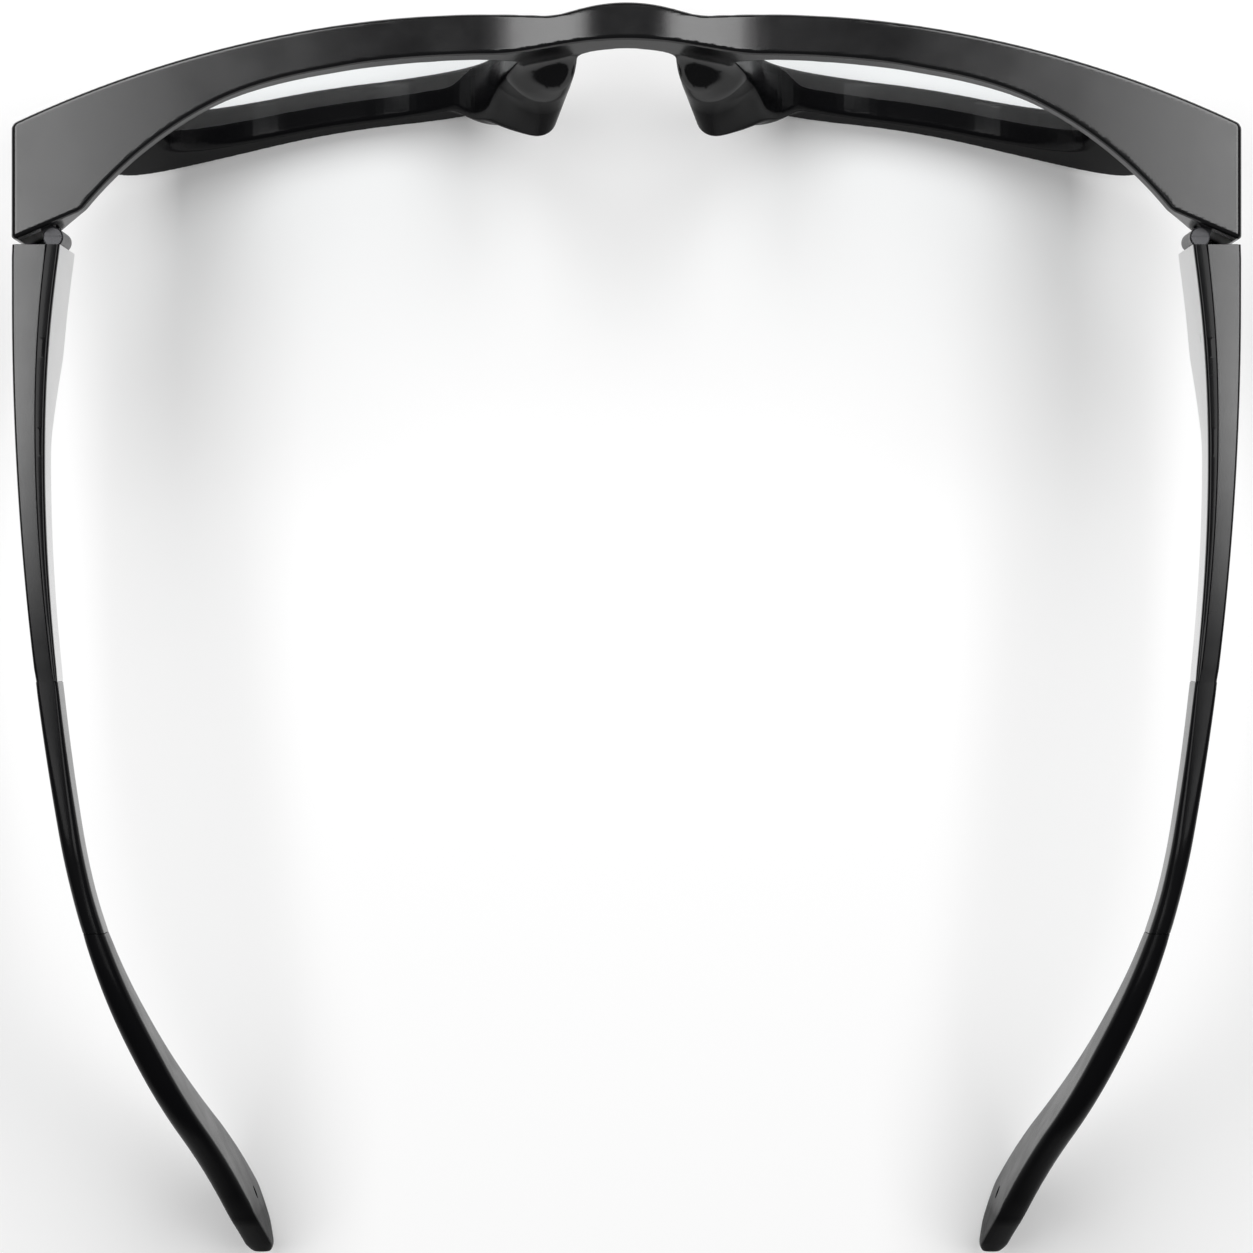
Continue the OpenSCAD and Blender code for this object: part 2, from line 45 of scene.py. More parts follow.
HALF_W = 73.0
FRONT_H = 45.0
BROW_DIP = 2.4
NOSE_ARCH = 37.0
FRONT_CURVE = 137.0
RIM_T = 4.8
LEAN = math.radians(5)
SHELF_T = 4.0
END_H = 19.0
END_Z = FRONT_H - END_H
END_DEPTH = 28.6
MITRE = math.radians(23.3)
BULGE = 1.75
ARC_X = 14.5
BRIDGE_FRONT_R, BRIDGE_REAR_R, BRIDGE_T = 20.0, 37.0, 4.4
SHELF_X, SHELF_V, CORBEL = 27.0, 7.0, 3.0
LENS_W, LENS_H, LENS_GAP, LENS_T, RIM_FOOT = 46.0, 36.0, 24.0, 2.0, 4.6
LENS_BACK, LENS_TUCK = 1.38, 0.85

ARM_L, HOOK_L = 80.0, 43.6
TEMPLE_L = ARM_L + HOOK_L
STRAIGHT_L = 7.0
FACE_V = END_DEPTH + 0.4
DEPTH = FACE_V + TEMPLE_L
TOP_Z = FRONT_H - 0.3
SLIM_H = 7.6
ARM_BASE = TOP_Z - SLIM_H - 0.4
HOUSING_L = 12.5
COVER_L = 52.0
TIP_S = ARM_L + 2
HOOK_H = 11.0
SLIM_T, HINGE_END_T, HOOK_T = 2.25, 5.8, 3.2
OUTER_R, BEND_R, BEND_L, FLARE = 370.0, 110.0, 36.4, 0.0103
PORT_S, MICROPHONE_S, HOUSING_SLOPE_L = HOUSING_L + 5.4, 27.3, 10.7
TIP_END_L = 2.4
BEND_S = ARM_L - 9.4
PIVOT_X, PIVOT_V = HALF_W - 4.6, FACE_V - 1.05
BARREL_R, RUN_PLAY = 1.2, 0.3
PIVOT_Z0, PIVOT_Z1 = END_Z + 4.6, END_Z + 15.0
HOLE_S, HOLE_Z, LANYARD_R = TEMPLE_L - 7, 9.0, 0.85
BUTTON_X, BUTTON_S, BUTTON_L, BUTTON_W = HALF_W - 2.1, 9.0, 4.4, 1.6


# ---------------------------------------------------------------- small helpers

def in_frame(points):
    """From millimetres behind the bridge to metres about the object's centre."""
    points = np.array(points, dtype=float)
    points[:, 1] -= DEPTH / 2
    return points * MM


def mesh_piece(name, points, faces, material, body, replaces):
    """A finished mesh on its body, in place of its CAD node."""
    mesh = bpy.data.meshes.new(name)
    mesh.from_pydata([tuple(p) for p in points], [], [tuple(f) for f in faces])
    mesh.validate()
    piece = bpy.data.objects.new(name, mesh)
    bpy.context.scene.collection.objects.link(piece)
    outward(piece)
    mesh.materials.append(material)
    keep_flats(piece)
    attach(piece, body)
    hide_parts(*replaces)
    return piece


def keep_flats(piece, smooth_angle=32):
    """Smooth shading that leaves broad faces flat and keeps the sharp edges."""
    piece.data.shade_smooth()
    piece.data.set_sharp_from_angle(angle=math.radians(smooth_angle))
    step = piece.modifiers.new("weighted", "WEIGHTED_NORMAL")
    step.keep_sharp = True
    step.weight = 100
    baked(piece)


def outward(piece):
    """Merges doubles and turns every face outwards."""
    bm = bmesh.new()
    bm.from_mesh(piece.data)
    bmesh.ops.remove_doubles(bm, verts=bm.verts, dist=1e-8)
    bmesh.ops.recalc_face_normals(bm, faces=bm.faces)
    bm.to_mesh(piece.data)
    bm.free()


def baked(piece):
    """Applies a piece's modifiers and leaves a plain mesh."""
    graph = bpy.context.evaluated_depsgraph_get()
    mesh = bpy.data.meshes.new_from_object(piece.evaluated_get(graph), depsgraph=graph)
    piece.modifiers.clear()
    old = piece.data
    piece.data = mesh
    bpy.data.meshes.remove(old)


def cut_away(piece, cutters):
    """Takes the cutter meshes out of a piece."""
    for cutter in cutters:
        step = piece.modifiers.new("cut", "BOOLEAN")
        step.operation = "DIFFERENCE"
        step.solver = "EXACT"
        step.object = cutter
    baked(piece)
    for cutter in cutters:
        mesh = cutter.data
        bpy.data.objects.remove(cutter)
        bpy.data.meshes.remove(mesh)
    keep_flats(piece)


def box_cutter(size, place):
    """A block about a place, to cut with."""
    bm = bmesh.new()
    bmesh.ops.create_cube(bm, size=1)
    return cutter_from(bm, place @ Matrix.Diagonal((*size, 1)))


def round_cutter(radius, length, place, sides=40):
    """A drill along local Z."""
    bm = bmesh.new()
    low, high = ([bm.verts.new((radius * math.cos(a), radius * math.sin(a), z))
                  for a in (2 * math.pi * i / sides for i in range(sides))] for z in (-length / 2, length / 2))
    for i in range(sides):
        bm.faces.new((low[i], low[(i + 1) % sides], high[(i + 1) % sides], high[i]))
    bm.faces.new(list(reversed(low)))
    bm.faces.new(high)
    return cutter_from(bm, place)


def cutter_from(bm, place):
    """Turns a loose shape into a hidden object that cuts."""
    bmesh.ops.transform(bm, matrix=place, verts=bm.verts)
    bmesh.ops.recalc_face_normals(bm, faces=bm.faces)
    mesh = bpy.data.meshes.new("cutter")
    bm.to_mesh(mesh)
    bm.free()
    cutter = bpy.data.objects.new("cutter", mesh)
    bpy.context.scene.collection.objects.link(cutter)
    cutter.hide_render = True
    return cutter


def place_at(x, v, z):
    """A place given in millimetres: across, behind the bridge, up."""
    return Matrix.Translation((x * MM, (v - DEPTH / 2) * MM, z * MM))


# ---------------------------------------------------------------- outlines

def rounded(corners, steps=7):
    """A closed outline from corners given as (x, z, radius)."""
    out = []
    n = len(corners)
    for i in range(n):
        a, b, c = (np.array(corners[(i + k) % n][:2]) for k in (-1, 0, 1))
        radius = corners[i][2]
        u, w = (a - b) / np.linalg.norm(a - b), (c - b) / np.linalg.norm(c - b)
        half = math.acos(np.clip(u @ w, -1, 1)) / 2
        side = -1 if u[0] * w[1] - u[1] * w[0] > 0 else 1
        middle = b + (u + w) / np.linalg.norm(u + w) * radius / math.sin(half)
        start = b + u * radius / math.tan(half) - middle
        for k in range(steps + 1):
            t = side * (math.pi - 2 * half) * k / steps
            out.append(middle + np.array([start[0] * math.cos(t) - start[1] * math.sin(t),
                                          start[0] * math.sin(t) + start[1] * math.cos(t)]))
    return np.array(out)


def outline_distance(outline, x, z):
    """Signed distance to a closed outline, negative inside."""
    shape = x.shape
    x, z = x.ravel(), z.ravel()
    best = np.full(x.shape, 1e9)
    inside = np.zeros(x.shape, dtype=bool)
    for a, b in zip(outline, np.roll(outline, -1, axis=0)):
        ex, ez = b - a
        length = ex * ex + ez * ez
        if length < 1e-12:
            continue
        t = np.clip(((x - a[0]) * ex + (z - a[1]) * ez) / length, 0, 1)
        best = np.minimum(best, (x - a[0] - t * ex) ** 2 + (z - a[1] - t * ez) ** 2)
        if a[1] != b[1]:
            crosses = (a[1] > z) != (b[1] > z)
            inside ^= crosses & (x < (b[0] - a[0]) * (z - a[1]) / (b[1] - a[1]) + a[0])
    return np.where(inside, -1, 1).reshape(shape) * np.sqrt(best).reshape(shape)


FRONT_OUTLINE = rounded([
    (-6, FRONT_H - BROW_DIP, 0.1), (5, FRONT_H - BROW_DIP, 30), (13.5, FRONT_H - 0.8, 60),
    (30, FRONT_H, 300), (HALF_W, FRONT_H, 0.6), (HALF_W, END_Z, 1.2), (HALF_W - 7, END_Z - 1, 3),
    (HALF_W - 8.4, END_Z - 6, 5), (HALF_W - 11, 6, 16), (HALF_W - 23, 0, 22), (24, 0, 14),
    (15.5, 6, 8), (11, 18, 20), (7.6, 28, 20), (5.5, NOSE_ARCH - 2, 4), (-6, NOSE_ARCH, 0.1)], steps=24)

LENS_OUTLINE = rounded([
    (LENS_GAP / 2, RIM_FOOT + LENS_H - 0.5, 5), (LENS_GAP / 2 + LENS_W, RIM_FOOT + LENS_H, 8),
    (LENS_GAP / 2 + LENS_W - 2.5, RIM_FOOT + 3, 15), (LENS_GAP / 2 + 7.5, RIM_FOOT, 15)], steps=20)

TEMPLE_OUTLINE = rounded([
    (0, TOP_Z, 0.1), (ARM_L - 8, FRONT_H - 1.4, 40), (ARM_L + 11, FRONT_H - 3.4, 25),
    (ARM_L + 24, FRONT_H - 10, 30), (TEMPLE_L - 5.6, 20.5, 20), (TEMPLE_L + 0.8, 5.5, 3.5),
    (TEMPLE_L - 3.4, 0, 1.6), (TEMPLE_L - 8, 0, 1.6), (TEMPLE_L - 13.2, 6.5, 12),
    (ARM_L + 16, FRONT_H - 7.5 - HOOK_H, 30), (ARM_L + 6, ARM_BASE - 2.4, 25),
    (ARM_L - 9, ARM_BASE, 40), (HOUSING_L + HOUSING_SLOPE_L, ARM_BASE, 5), (HOUSING_L, END_Z, 3.5),
    (0, END_Z, 0.1)], steps=10)


# ---------------------------------------------------------------- temple curves

BEND_A = math.asin((BEND_S - STRAIGHT_L) / OUTER_R)
BEND_CX = HALF_W - OUTER_R * (1 - math.cos(BEND_A)) - BEND_R * math.cos(BEND_A)
BEND_CS = BEND_S - BEND_R * math.sin(BEND_A)
TAIL_S = BEND_S + BEND_L
TAIL_A = math.asin((TAIL_S - BEND_CS) / BEND_R)
TAIL_X = BEND_CX + BEND_R * math.cos(TAIL_A)


def ease(a):
    """A soft start and stop between 0 and 1."""
    a = min(1.0, max(0.0, a))
    return a * a * (3 - 2 * a)


def turn_in(s):
    """How far the temple has turned inwards at s, in radians."""
    if s < STRAIGHT_L:
        return 0.0
    if s < BEND_S:
        return math.asin((s - STRAIGHT_L) / OUTER_R)
    if s < TAIL_S:
        return math.asin((s - BEND_CS) / BEND_R)
    return math.atan(math.tan(TAIL_A) - 2 * FLARE * (s - TAIL_S))


def outer_x(s):
    """The outer face of the temple at s."""
    if s < STRAIGHT_L:
        return HALF_W
    if s < BEND_S:
        return HALF_W - OUTER_R * (1 - math.cos(turn_in(s)))
    if s < TAIL_S:
        return BEND_CX + BEND_R * math.cos(turn_in(s))
    return TAIL_X - math.tan(TAIL_A) * (s - TAIL_S) + FLARE * (s - TAIL_S) ** 2


def thickness(s):
    """The temple is thick at the hinge, slim in the middle and thicker at the hook."""
    return (SLIM_T + (HINGE_END_T - SLIM_T) * math.exp(-s / 24)
            + (HOOK_T - SLIM_T) * ease((s - ARM_L + 4) / 22))


def across(s, part, d=0.0):
    """Across the temple: part 0 is the inner face and 1 the outer; d is added outward."""
    return outer_x(s) + ((part - 1) * thickness(s) + d) / math.cos(turn_in(s))


def cover_t(s):
    """The inner cover thins out towards its end."""
    return 0.6 + 1.1 * max(0.0, 1 - s / COVER_L)


def heights(s):
    """Lowest and highest point of the temple's side outline at s."""
    found = []
    for a, b in zip(TEMPLE_OUTLINE, np.roll(TEMPLE_OUTLINE, -1, axis=0)):
        if (a[0] - s) * (b[0] - s) <= 0 and a[0] != b[0]:
            found.append(a[1] + (b[1] - a[1]) * (s - a[0]) / (b[0] - a[0]))
    return min(found), max(found)


# ---------------------------------------------------------------- materials

def noise(tree, coords, scale, detail=3.0, rough=0.5, stretch=None):
    """Soft noise on the piece, drawn out where stretch is given."""
    link = tree.links.new
    source = coords
    if stretch:
        mapping = tree.nodes.new("ShaderNodeMapping")
        mapping.inputs["Scale"].default_value = stretch
        link(coords, mapping.inputs["Vector"])
        source = mapping.outputs["Vector"]
    node = tree.nodes.new("ShaderNodeTexNoise")
    node.inputs["Scale"].default_value = scale
    node.inputs["Detail"].default_value = detail
    node.inputs["Roughness"].default_value = rough
    link(source, node.inputs["Vector"])
    return node.outputs["Fac"]


def spread(tree, fac, low, high):
    """Takes the middle of a noise to a range of values."""
    node = tree.nodes.new("ShaderNodeMapRange")
    node.inputs["To Min"].default_value = low
    node.inputs["To Max"].default_value = high
    node.inputs["From Min"].default_value = 0.3
    node.inputs["From Max"].default_value = 0.7
    tree.links.new(fac, node.inputs["Value"])
    return node.outputs["Result"]


def blend_colours(tree, fac, first, second):
    """A colour between two."""
    node = tree.nodes.new("ShaderNodeMix")
    node.data_type = "RGBA"
    tree.links.new(fac, node.inputs["Factor"])
    node.inputs[6].default_value = (*first, 1)
    node.inputs[7].default_value = (*second, 1)
    return node.outputs[2]


def surface(name, first, second, rough, grain, depth, metallic=0.0, ior=1.5, coat=0.0,
            stretch=None, marks=0.0, painted_shade_gloss=None, painted_shade_fade=None):
    """A solid finish: two close colours in soft patches, uneven gloss, fine grain, faint marks.

    The slope argument paints shade into the gloss: it gives the specular level of upright faces and of level ones,
    where the two differ, so that faces lying in shade come out darker.
    The fade argument paints shade the same way along an axis: that level runs from one share to another between two
    places.
    """
    material = bpy.data.materials.new(name)
    material.use_nodes = True
    tree = material.node_tree
    link = tree.links.new
    shader = tree.nodes["Principled BSDF"]
    coords = tree.nodes.new("ShaderNodeTexCoord").outputs["Object"]
    patches = noise(tree, coords, 90, 4)
    link(blend_colours(tree, patches, first, second), shader.inputs["Base Color"])
    gloss = spread(tree, noise(tree, coords, 160, 5, 0.6, stretch), rough[0], rough[1])
    link(gloss, shader.inputs["Roughness"])
    shader.inputs["Metallic"].default_value = metallic
    shader.inputs["IOR"].default_value = ior
    shader.inputs["Coat Weight"].default_value = coat
    shader.inputs["Coat Roughness"].default_value = 0.05
    # painted shade: the specular level, and the coat with it, follows how upright a face is, so faces lying in shade
    # come out dark
    if painted_shade_gloss:
        facing = tree.nodes.new("ShaderNodeSeparateXYZ")
        link(tree.nodes.new("ShaderNodeNewGeometry").outputs["Normal"], facing.inputs["Vector"])
        level = tree.nodes.new("ShaderNodeMath")
        level.operation = "ABSOLUTE"
        link(facing.outputs["Z"], level.inputs[0])
        painted_shade_map = tree.nodes.new("ShaderNodeMapRange")
        for key, value in {"From Min": 0.2, "From Max": 0.75, "To Min": painted_shade_gloss[0], "To Max": painted_shade_gloss[1]}.items():
            painted_shade_map.inputs[key].default_value = value
        link(level.outputs["Value"], painted_shade_map.inputs["Value"])
        painted_gloss_level = painted_shade_map.outputs["Result"]
        # painted shade along an axis: the gloss is dimmed between two places
        if painted_shade_fade:
            axis, places, shares = painted_shade_fade
            place = tree.nodes.new("ShaderNodeSeparateXYZ")
            link(coords, place.inputs["Vector"])
            painted_fade_map = tree.nodes.new("ShaderNodeMapRange")
            painted_fade_map.inputs["From Min"].default_value = places[0] * MM
            painted_fade_map.inputs["From Max"].default_value = places[1] * MM
            painted_fade_map.inputs["To Min"].default_value = shares[0]
            painted_fade_map.inputs["To Max"].default_value = shares[1]
            link(place.outputs[axis], painted_fade_map.inputs["Value"])
            dimmed = tree.nodes.new("ShaderNodeMath")
            dimmed.operation = "MULTIPLY"
            link(painted_gloss_level, dimmed.inputs[0])
            link(painted_fade_map.outputs["Result"], dimmed.inputs[1])
            painted_gloss_level = dimmed.outputs["Value"]
        link(painted_gloss_level, shader.inputs["Specular IOR Level"])
        if coat:
            link(painted_gloss_level, shader.inputs["Coat Weight"])
    height = noise(tree, coords, grain, 2, 0.5, stretch)
    bump = tree.nodes.new("ShaderNodeBump")
    bump.inputs["Strength"].default_value = 1.0
    bump.inputs["Distance"].default_value = depth * MM
    link(height, bump.inputs["Height"])
    normal = bump.outputs["Normal"]
    if marks:
        lines = noise(tree, coords, 500, 2, 0.5, (0.25, 3.0, 3.0))
        sharp = tree.nodes.new("ShaderNodeMapRange")
        sharp.inputs["From Min"].default_value = 0.68
        sharp.inputs["From Max"].default_value = 0.75
        link(lines, sharp.inputs["Value"])
        second_bump = tree.nodes.new("ShaderNodeBump")
        second_bump.invert = True
        second_bump.inputs["Distance"].default_value = marks * MM
        link(sharp.outputs["Result"], second_bump.inputs["Height"])
        link(normal, second_bump.inputs["Normal"])
        normal = second_bump.outputs["Normal"]
    link(normal, shader.inputs["Normal"])
    return material


def clear_lens(name):
    """Thin coated glass: clear straight through, with reflections that grow at the edges."""
    material = bpy.data.materials.new(name)
    material.use_nodes = True
    tree = material.node_tree
    tree.nodes.clear()
    link = tree.links.new
    coords = tree.nodes.new("ShaderNodeTexCoord").outputs["Object"]
    smears = noise(tree, coords, 60, 4)
    clear = tree.nodes.new("ShaderNodeBsdfTransparent")
    link(blend_colours(tree, smears, (0.965, 0.975, 0.98), (0.975, 0.985, 0.985)), clear.inputs["Color"])
    gloss = tree.nodes.new("ShaderNodeBsdfAnisotropic")
    gloss.inputs["Color"].default_value = (1, 1, 1, 1)
    link(spread(tree, smears, 0.01, 0.04), gloss.inputs["Roughness"])
    fresnel = tree.nodes.new("ShaderNodeFresnel")
    fresnel.inputs["IOR"].default_value = 1.38
    outside = tree.nodes.new("ShaderNodeNewGeometry")
    front_only = tree.nodes.new("ShaderNodeMath")
    front_only.operation = "MULTIPLY_ADD"
    front_only.inputs[1].default_value = -1.0
    front_only.inputs[2].default_value = 1.0
    link(outside.outputs["Backfacing"], front_only.inputs[0])
    share = tree.nodes.new("ShaderNodeMath")
    share.operation = "MULTIPLY"
    coated = tree.nodes.new("ShaderNodeMath")
    coated.operation = "MULTIPLY"
    coated.inputs[1].default_value = 0.2
    link(fresnel.outputs["Fac"], coated.inputs[0])
    link(coated.outputs["Value"], share.inputs[0])
    link(front_only.outputs["Value"], share.inputs[1])
    mix = tree.nodes.new("ShaderNodeMixShader")
    link(share.outputs["Value"], mix.inputs["Fac"])
    link(clear.outputs["BSDF"], mix.inputs[1])
    link(gloss.outputs["BSDF"], mix.inputs[2])
    out = tree.nodes.new("ShaderNodeOutputMaterial")
    link(mix.outputs["Shader"], out.inputs["Surface"])
    return material


# painted shade: the front's upright faces get almost no reflection and the parts below 24 mm only a tenth of it, so
# lower rims, pads and walls come out black as if in shade
FRONT_BLACK = surface("satin_black_front", (0.0035, 0.0035, 0.004), (0.006, 0.006, 0.0065), (0.15, 0.2), 6000, 0.003,
                      ior=1.6, marks=0.0012, painted_shade_gloss=(0.009, 0.5), painted_shade_fade=("Z", (24, 36), (0.1, 1)))
# painted shade: the temples' gloss falls to 0.15 of itself between Y = -26 mm and Y = 0, so their rear parts come out
# dark as if in shade
BLACK = surface("satin_black_temples", (0.0035, 0.0035, 0.004), (0.006, 0.006, 0.0065), (0.15, 0.2), 6000, 0.003,
                ior=1.6, marks=0.0012, painted_shade_gloss=(0.5, 0.5), painted_shade_fade=("Y", (-26, 0), (1, 0.15)))
# painted shade: level faces of the cover keep only a tenth of its gloss, so its top comes out dark as if in shade,
# while its upright inner face keeps full gloss
COVER = surface("black_cover", (0.003, 0.003, 0.0035), (0.005, 0.005, 0.0055), (0.12, 0.18), 3600, 0.001,
                ior=1.5, coat=1.0, painted_shade_gloss=(1.0, 0.1))
# the ear tip has little gloss throughout, and painted shade takes it down to 0.05 of that between Y = 61 and 71 mm,
# so its end comes out dark as if in shade
TIP = surface("satin_black_tip", (0.003, 0.003, 0.0035), (0.0055, 0.0055, 0.006), (0.2, 0.28), 6000, 0.003,
              ior=1.5, marks=0.0012, painted_shade_gloss=(0.05, 0.05), painted_shade_fade=("Y", (61, 71), (1, 0.05)))
STEEL = surface("blackened_steel", (0.02, 0.02, 0.022), (0.035, 0.035, 0.037), (0.25, 0.42), 1800, 0.002,
                metallic=1.0, stretch=(1.0, 1.0, 0.08))
SCREW = surface("blackened_screws", (0.04, 0.04, 0.042), (0.06, 0.06, 0.063), (0.2, 0.34), 2400, 0.0012, metallic=1.0)
GOLD = surface("gold_plate", (0.78, 0.52, 0.2), (0.85, 0.6, 0.26), (0.12, 0.26), 1600, 0.0008, metallic=1.0)
FOIL = surface("pouch_foil", (0.6, 0.61, 0.63), (0.7, 0.71, 0.73), (0.25, 0.45), 500, 0.02, metallic=1.0)
BOARD = surface("solder_mask", (0.012, 0.09, 0.045), (0.02, 0.13, 0.06), (0.25, 0.4), 900, 0.004, coat=0.4)
FILM = surface("polyimide_film", (0.42, 0.17, 0.03), (0.55, 0.25, 0.05), (0.2, 0.35), 1200, 0.002, coat=0.5)
CASE = surface("moulded_case", (0.02, 0.02, 0.022), (0.03, 0.03, 0.032), (0.45, 0.6), 1500, 0.004)
WIRE = surface("woven_wire", (0.16, 0.16, 0.17), (0.24, 0.24, 0.25), (0.3, 0.45), 3000, 0.001, metallic=1.0)
BUTTON = surface("button_black", (0.01, 0.01, 0.011), (0.015, 0.015, 0.016), (0.4, 0.5), 4200, 0.003)
FROST = surface("frosted_window", (0.7, 0.75, 0.73), (0.8, 0.85, 0.82), (0.35, 0.5), 1500, 0.002)
LENS = clear_lens("clear_lens")

for node_name, node_material in {
    "lens": LENS, "front_hinge": STEEL, "temple_hinge": STEEL, "pivot_screw": SCREW,
    "front_leaf_screws": SCREW, "temple_leaf_screws": SCREW, "battery": FOIL, "circuit_board": BOARD,
    "speaker": CASE, "speaker_mesh": WIRE, "microphone": GOLD, "flex_cable": FILM, "charge_contacts": GOLD,
    "touch_sensor": FILM, "action_button": BUTTON, "button_switch": CASE, "status_light": FROST,
}.items():
    for name, cad_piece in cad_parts.items():
        if name == node_name or name[:name.rfind("_")] == node_name:
            cad_piece.data.materials.clear()
            cad_piece.data.materials.append(node_material)


# ---------------------------------------------------------------- the front

def round_join(a, b, r):
    """Both at once (the inside of a and of b), with an edge of radius r."""
    u, w = np.maximum(a + r, 0), np.maximum(b + r, 0)
    return np.minimum(np.maximum(a, b), -r) + np.sqrt(u * u + w * w)


def soft_union(a, b, r):
    """Either one (a or b), with a hollow fillet of about r where they meet."""
    h = np.maximum(r - np.abs(a - b), 0) / r
    return np.minimum(a, b) - h * h * r * 0.25


def behind_face(x, v, depth):
    """Negative behind the front face moved back by depth."""
    side = np.hypot(x - ARC_X, v - BULGE - FRONT_CURVE) - (FRONT_CURVE - depth)
    middle = BULGE + depth - v
    return np.where(x > ARC_X, side, middle)


def ellipsoid(x, v, z, centre, radii, tilt=0.0):
    """Near distance to an ellipsoid tilted about X."""
    dx, dv, dz = x - centre[0], v - centre[1], z - centre[2]
    c, s = math.cos(tilt), math.sin(tilt)
    dv, dz = c * dv + s * dz, -s * dv + c * dz
    k0 = np.sqrt((dx / radii[0]) ** 2 + (dv / radii[1]) ** 2 + (dz / radii[2]) ** 2)
    k1 = np.sqrt((dx / radii[0] ** 2) ** 2 + (dv / radii[1] ** 2) ** 2 + (dz / radii[2] ** 2) ** 2)
    return k0 * (k0 - 1) / np.maximum(k1, 1e-6)


def round_bar(x, v, z, first, last, radius):
    """A straight bar with round ends."""
    start, run = np.array(first), np.array(last) - np.array(first)
    dx, dv, dz = x - start[0], v - start[1], z - start[2]
    share = np.clip((dx * run[0] + dv * run[1] + dz * run[2]) / (run @ run), 0, 1)
    return np.sqrt((dx - share * run[0]) ** 2 + (dv - share * run[1]) ** 2 + (dz - share * run[2]) ** 2) - radius


def front_shape(points):
    """Signed distance to the one-piece front, the same on both sides."""
    x, v, z = np.abs(points[:, 0]), points[:, 1], points[:, 2]
    zp = FRONT_H - BROW_DIP
    lv = math.cos(LEAN) * v + math.sin(LEAN) * (z - zp)

    # front and rear faces, with the bridge pushed forward; the mitre trims the ends
    face = behind_face(x, lv, 0)
    face = soft_union(face, np.hypot(x, lv - BRIDGE_FRONT_R) - BRIDGE_FRONT_R, 0.8)
    rear = behind_face(x, lv, RIM_T)
    rear = soft_union(rear, np.hypot(x, lv - BRIDGE_T - BRIDGE_REAR_R) - BRIDGE_REAR_R, 1.5)
    mitre = (v - END_DEPTH) * math.cos(MITRE) - (x - HALF_W) * math.sin(MITRE)
    sheet = np.where(x > 55, round_join(-rear, mitre, 0.3), -rear)

    # end piece: a shelf whose rear edge is an arc, thicker towards its foot, and the ledge under the hinge
    shelf_r = ((HALF_W - 7.6 - SHELF_X) ** 2 + (END_DEPTH - 2.7 - SHELF_V) ** 2) / 2 / (END_DEPTH - 2.7 - SHELF_V)
    ring = shelf_r + CORBEL * np.clip((END_Z + END_H - SHELF_T - z) / (END_H - SHELF_T), 0, 1)
    start = np.clip((x - SHELF_X) / 9, 0, 1)
    ring = ring - np.hypot(x - SHELF_X, v - SHELF_V - shelf_r) + 1.1 * (1 - start * start * (3 - 2 * start))
    end = np.maximum(np.maximum(ring, SHELF_X - x), END_Z - 0.5 - z)
    ledge = np.maximum(np.maximum(v - END_DEPTH, PIVOT_X + 0.9 - x), z - END_Z - 4)
    end = round_join(end, np.minimum(mitre, ledge), 0.3)

    # the rim swells beside the nose; then the outside and the lens opening are cut
    cheek = ellipsoid(x, v, z, (15.8, 8.9, 12.5), (5.0, 2.7, 8.5), 0.12)
    back = soft_union(soft_union(sheet, end, 1.2), cheek, 2.6)
    shape = round_join(face, back, 0.5)
    shape = round_join(shape, outline_distance(FRONT_OUTLINE, x, z), 0.55)

    opening = outline_distance(LENS_OUTLINE, x, z)
    shape = round_join(shape, -opening, 0.7)

    # moulded nose pads
    pad = round_bar(x, v, z, (8.7, 7.6, 31.5), (10.8, 11.4, 15), 2.15)
    pad = soft_union(pad, round_bar(x, v, z, (11.4, 7.6, 29), (13.6, 9.8, 14), 2.3), 3.6)
    shape = soft_union(shape, np.maximum(pad, -opening - 0.4), 3.2)

    # room for the hinge barrels
    relief = np.hypot(x - PIVOT_X, v - PIVOT_V) - BARREL_R - RUN_PLAY
    relief = np.maximum(relief, np.maximum(PIVOT_Z0 - 0.3 - z, z - PIVOT_Z1 - 0.9))
    return np.maximum(shape, -relief)


def slopes(shape, points, h=0.02):
    """The gradient of a distance function at each point."""
    out = np.empty_like(points)
    for k in range(3):
        d = np.zeros(3)
        d[k] = h
        out[:, k] = (shape(points + d) - shape(points - d)) / (2 * h)
    return out


